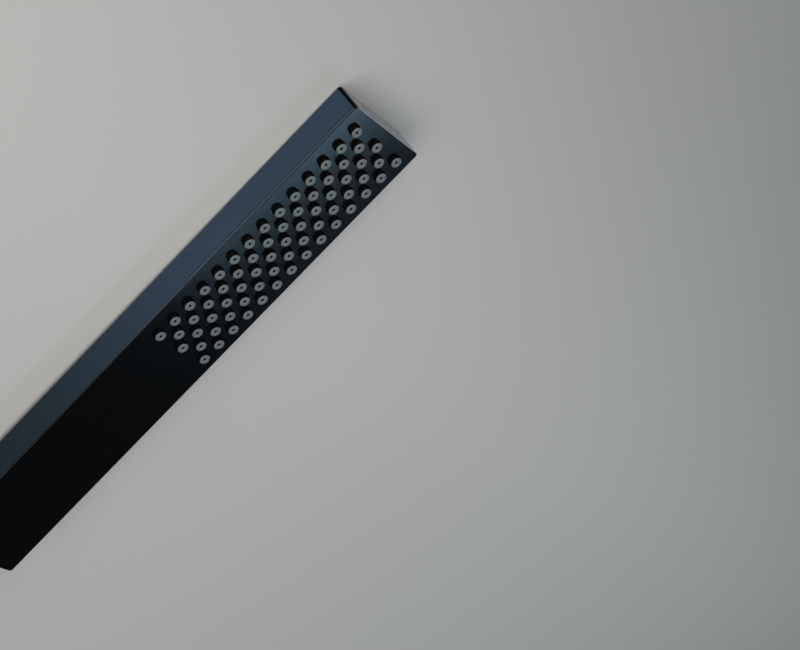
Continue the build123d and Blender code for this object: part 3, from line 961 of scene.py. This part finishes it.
class SHOWER_OT_inlet(bpy.types.Operator):
    """Turn the hose inlet with its pipe thread, collar and spigot"""
    bl_idname = "shower.inlet"
    bl_label = "Hose inlet"

    def execute(self, context):
        sizes = context.scene.shower_inlet
        crest = sizes.thread_diameter / 2
        root = crest - sizes.thread_depth
        relief = crest - sizes.relief_depth
        mouth = LIMITER_HIGH.y + sizes.fit
        valve = VALVE_HIGH.y + sizes.fit
        spigot = SPIGOT_RADIUS
        bore = spigot - sizes.spigot_wall
        groove_start = SPIGOT_SEAL_LOW.x - sizes.seal_clearance
        groove_end = SPIGOT_SEAL_HIGH.x + sizes.seal_clearance
        groove = spigot - sizes.seal_depth
        lead = 0.5 * sizes.thread_depth
        core = 0.5 * (valve + sizes.collar_flat)
        core_start = sizes.collar_start + SINK * sizes.collar_edge
        core_end = SHELL_LOW.x - 0.5 * sizes.collar_edge
        end = NIPPLE_HIGH.x
        stations = (
            (0.0, mouth),
            (0.0, root - lead),
            (lead, root),
            (sizes.thread_length, root),
            (sizes.thread_length + lead, relief),
            (core_start, relief),
            (core_start, core),
            (core_end, core),
            (core_end, spigot),
            (groove_start, spigot),
            (groove_start, groove),
            (groove_end, groove),
            (groove_end, spigot),
            (end - sizes.collar_edge, spigot),
            (end, spigot - sizes.collar_edge),
            (end, bore),
            (VALVE_HIGH.x, bore),
            (VALVE_HIGH.x, valve),
            (LIMITER_HIGH.x, valve),
            (LIMITER_HIGH.x, mouth),
            (0.0, mouth),
        )
        inlet = add_turned("hose_inlet", stations, INLET_STEPS)
        ridge = self.ridge(sizes, root, crest)
        collar = self.collar(sizes, core - 0.5 * sizes.collar_edge)
        join(inlet, [ridge, collar])
        soften(inlet, THREAD_ANGLE)
        dress(inlet, brass_finish(context.scene.shower_finishes, sizes), "inlet_nipple")
        return {"FINISHED"}

    def ridge(self, sizes, root, crest):
        """The thread's ridge: a low wedge carried along the helix, run out at both ends."""
        start_piece()
        sunk = SINK * sizes.thread_depth
        flank = RIDGE_ROOT * sizes.thread_pitch
        land = RIDGE_CREST * sizes.thread_pitch
        middle = 0.5 * sizes.thread_pitch
        bpy.ops.mesh.primitive_plane_add(size=1.0, rotation=(math.pi / 2, 0, 0))
        ridge = settle("thread_ridge")
        edit(ridge)
        for upper in (False, True):
            half = land if upper else flank
            level = crest if upper else root - sunk
            pick(ridge, "VERT", lambda vert: (vert.co.z > 0) == upper and abs(vert.co.x) > NEW_CORNER)
            bpy.ops.transform.resize(value=(2 * half, 1, 0), center_override=(0, 0, 0))
            bpy.ops.transform.translate(value=(middle, 0, level))
        done()
        turns = (sizes.thread_length - 2 * middle) / sizes.thread_pitch
        wind(ridge, turns, turns * sizes.thread_pitch)
        edit(ridge)
        close_ends(ridge, sizes.thread_length / 2, root / crest)
        done()
        return ridge

    def collar(self, sizes, inner):
        """The collar against the bar's end, with two flats for a wrench."""
        radius = sizes.collar_diameter / 2
        edge = sizes.collar_edge
        stations = (
            (sizes.collar_start, inner),
            (sizes.collar_start, radius - edge),
            (sizes.collar_start + edge, radius),
            (SHELL_LOW.x, radius),
            (SHELL_LOW.x, inner),
            (sizes.collar_start, inner),
        )
        collar = add_turned("inlet_collar", stations, INLET_STEPS)
        edit(collar)
        for side in (1, -1):
            bpy.ops.mesh.select_all(action="SELECT")
            bpy.ops.mesh.bisect(plane_co=(0, 0, side * sizes.collar_flat), plane_no=(0, 0, side),
                                use_fill=True, clear_outer=True)
        face_out()
        done()
        return collar


class SHOWER_OT_spring(bpy.types.Operator):
    """Coil the check valve's return spring"""
    bl_idname = "shower.spring"
    bl_label = "Return spring"

    def execute(self, context):
        sizes = context.scene.shower_spring
        radius = SPRING_HIGH.y - sizes.wire / 2
        start = SPRING_LOW.x + sizes.wire / 2
        long = SPRING_HIGH.x - SPRING_LOW.x
        start_piece()
        bpy.ops.mesh.primitive_circle_add(vertices=WIRE_STEPS, radius=sizes.wire / 2,
                                          location=(start, 0, radius), rotation=(math.pi / 2, 0, 0))
        spring = settle("return_spring")
        wind(spring, sizes.turns, long - sizes.wire)
        edit(spring)
        close_ends(spring, (SPRING_LOW.x + SPRING_HIGH.x) / 2)
        done()
        soften(spring, ROUND_ANGLE)
        finish = steel_finish(context.scene.shower_finishes, "Spring steel")
        dress(spring, finish, "valve_spring")
        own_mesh(spring)
        return {"FINISHED"}


class SHOWER_OT_inner_finishes(bpy.types.Operator):
    """Give the inner pieces their plastic, steel and rubber, and each hidden solid its piece's finish"""
    bl_idname = "shower.inner_finishes"
    bl_label = "Inner finishes"

    def execute(self, context):
        finishes = {}
        for make, names in INNER_FINISHES.items():
            finishes.update(dict.fromkeys(names, make(context.scene.shower_finishes)))
        for piece in bpy.data.objects:
            for name in piece.get("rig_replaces", []):
                finishes[name] = piece.data.materials[0]
        for name, finish in finishes.items():
            solid = frame["nodes"][name]
            solid.data.materials.clear()
            solid.data.materials.append(finish)
        return {"FINISHED"}


class SHOWER_OT_stage(bpy.types.Operator):
    """Lay the floor, hang the lamps and place the camera"""
    bl_idname = "shower.stage"
    bl_label = "Stage"

    def execute(self, context):
        stage = context.scene.shower_stage
        self.floor(stage)
        for lamp in LAMPS:
            self.hang(lamp)
        self.world()
        self.camera(stage)
        context.scene.view_settings.view_transform = "Standard"
        return {"FINISHED"}

    def floor(self, stage):
        """A plain pale floor that touches the inlet and the head's back edge, with painted shade beyond the
        head.
        """
        start_piece()
        rest = Vector((NIPPLE_LOW.x, 0, NIPPLE_LOW.z))
        head = Vector((SHELL_HIGH.x, 0, SHELL_LOW.z))
        slope = math.atan2(head.z - rest.z, head.x - rest.x)
        bpy.ops.mesh.primitive_plane_add(size=stage.floor_width, location=rest - Vector((0, 0, FLOOR_GAP)),
                                         rotation=(0, -slope, 0))
        floor = settle("floor")
        shade = toned(stage.floor, FLOOR_GRAIN.tone)
        finish, shader = new_finish("Pale floor", FLOOR_GRAIN, shade, stage.floor)
        tree = finish.node_tree
        # Painted shade on the floor beyond the head.
        shade_over(tree, shader, span_mask(tree, (1, 0, 0), *FLOOR_SHADE_SPAN), stage.floor_far_shade)
        floor.data.materials.append(finish)

    def hang(self, lamp):
        """Hangs one lamp and turns it to the point that it looks at."""
        start_piece()
        bpy.ops.object.light_add(type="AREA", location=lamp.place)
        made = bpy.context.object
        made.name = lamp.name
        made.rotation_euler = (Vector(lamp.target) - Vector(lamp.place)).to_track_quat("-Z", "Y").to_euler()
        made.data.shape = "RECTANGLE"
        made.data.size, made.data.size_y = lamp.size
        made.data.energy = lamp.watts
        made.data.color = lamp.tint

    def world(self):
        """The faint even light of the room."""
        world = bpy.data.worlds.new("Studio")
        bpy.context.scene.world = world
        world.use_nodes = True
        back = world.node_tree.nodes["Background"]
        back.inputs["Color"].default_value = WORLD_COLOUR
        back.inputs["Strength"].default_value = WORLD_STRENGTH

    def camera(self, stage):
        """The camera at the photograph's viewing angle."""
        back = Vector(stage.camera_back).normalized()
        right = Vector(stage.camera_up).cross(back).normalized()
        up = back.cross(right)
        start_piece()
        bpy.ops.object.camera_add()
        camera = bpy.context.object
        camera.name = "camera"
        turn = Matrix((right, up, back)).transposed().to_4x4()
        camera.matrix_world = Matrix.Translation(stage.camera_place) @ turn
        camera.data.sensor_fit = "HORIZONTAL"
        camera.data.sensor_width = stage.sensor
        camera.data.lens = stage.focal * stage.sensor / PHOTO_WIDTH
        camera.data.clip_start = CAMERA_NEAREST
        bpy.context.scene.camera = camera


class SHOWER_PT_panel(bpy.types.Panel):
    """The pieces in the order in which they are made"""
    bl_idname = "SHOWER_PT_panel"
    bl_label = "Bar hand shower"
    bl_space_type = "VIEW_3D"
    bl_region_type = "UI"
    bl_category = "Shower"

    def draw(self, context):
        for operator in STEPS:
            self.layout.operator(operator.bl_idname)
        for name in SETTINGS:
            box = self.layout.box()
            settings = getattr(context.scene, name)
            for prop in settings.__annotations__:
                box.prop(settings, prop)


SETTINGS = {
    "shower_body": ShowerBodySizes,
    "shower_spray": ShowerSpraySizes,
    "shower_inlet": ShowerInletSizes,
    "shower_spring": ShowerSpringSizes,
    "shower_finishes": ShowerFinishes,
    "shower_stage": ShowerStage,
}
STEPS = (
    SHOWER_OT_body,
    SHOWER_OT_spray_plate,
    SHOWER_OT_nozzles,
    SHOWER_OT_inlet,
    SHOWER_OT_spring,
    SHOWER_OT_inner_finishes,
    SHOWER_OT_stage,
)


def register():
    for name, settings in SETTINGS.items():
        bpy.utils.register_class(settings)
        setattr(bpy.types.Scene, name, PointerProperty(type=settings))
    for operator in STEPS:
        bpy.utils.register_class(operator)
    bpy.utils.register_class(SHOWER_PT_panel)


def unregister():
    bpy.utils.unregister_class(SHOWER_PT_panel)
    for operator in reversed(STEPS):
        bpy.utils.unregister_class(operator)
    for name, settings in SETTINGS.items():
        delattr(bpy.types.Scene, name)
        bpy.utils.unregister_class(settings)


def main():
    register()
    bpy.ops.shower.body()
    bpy.ops.shower.spray_plate()
    bpy.ops.shower.nozzles()
    bpy.ops.shower.inlet()
    bpy.ops.shower.spring()
    bpy.ops.shower.inner_finishes()
    bpy.ops.shower.stage()


if __name__ == "__main__":
    main()
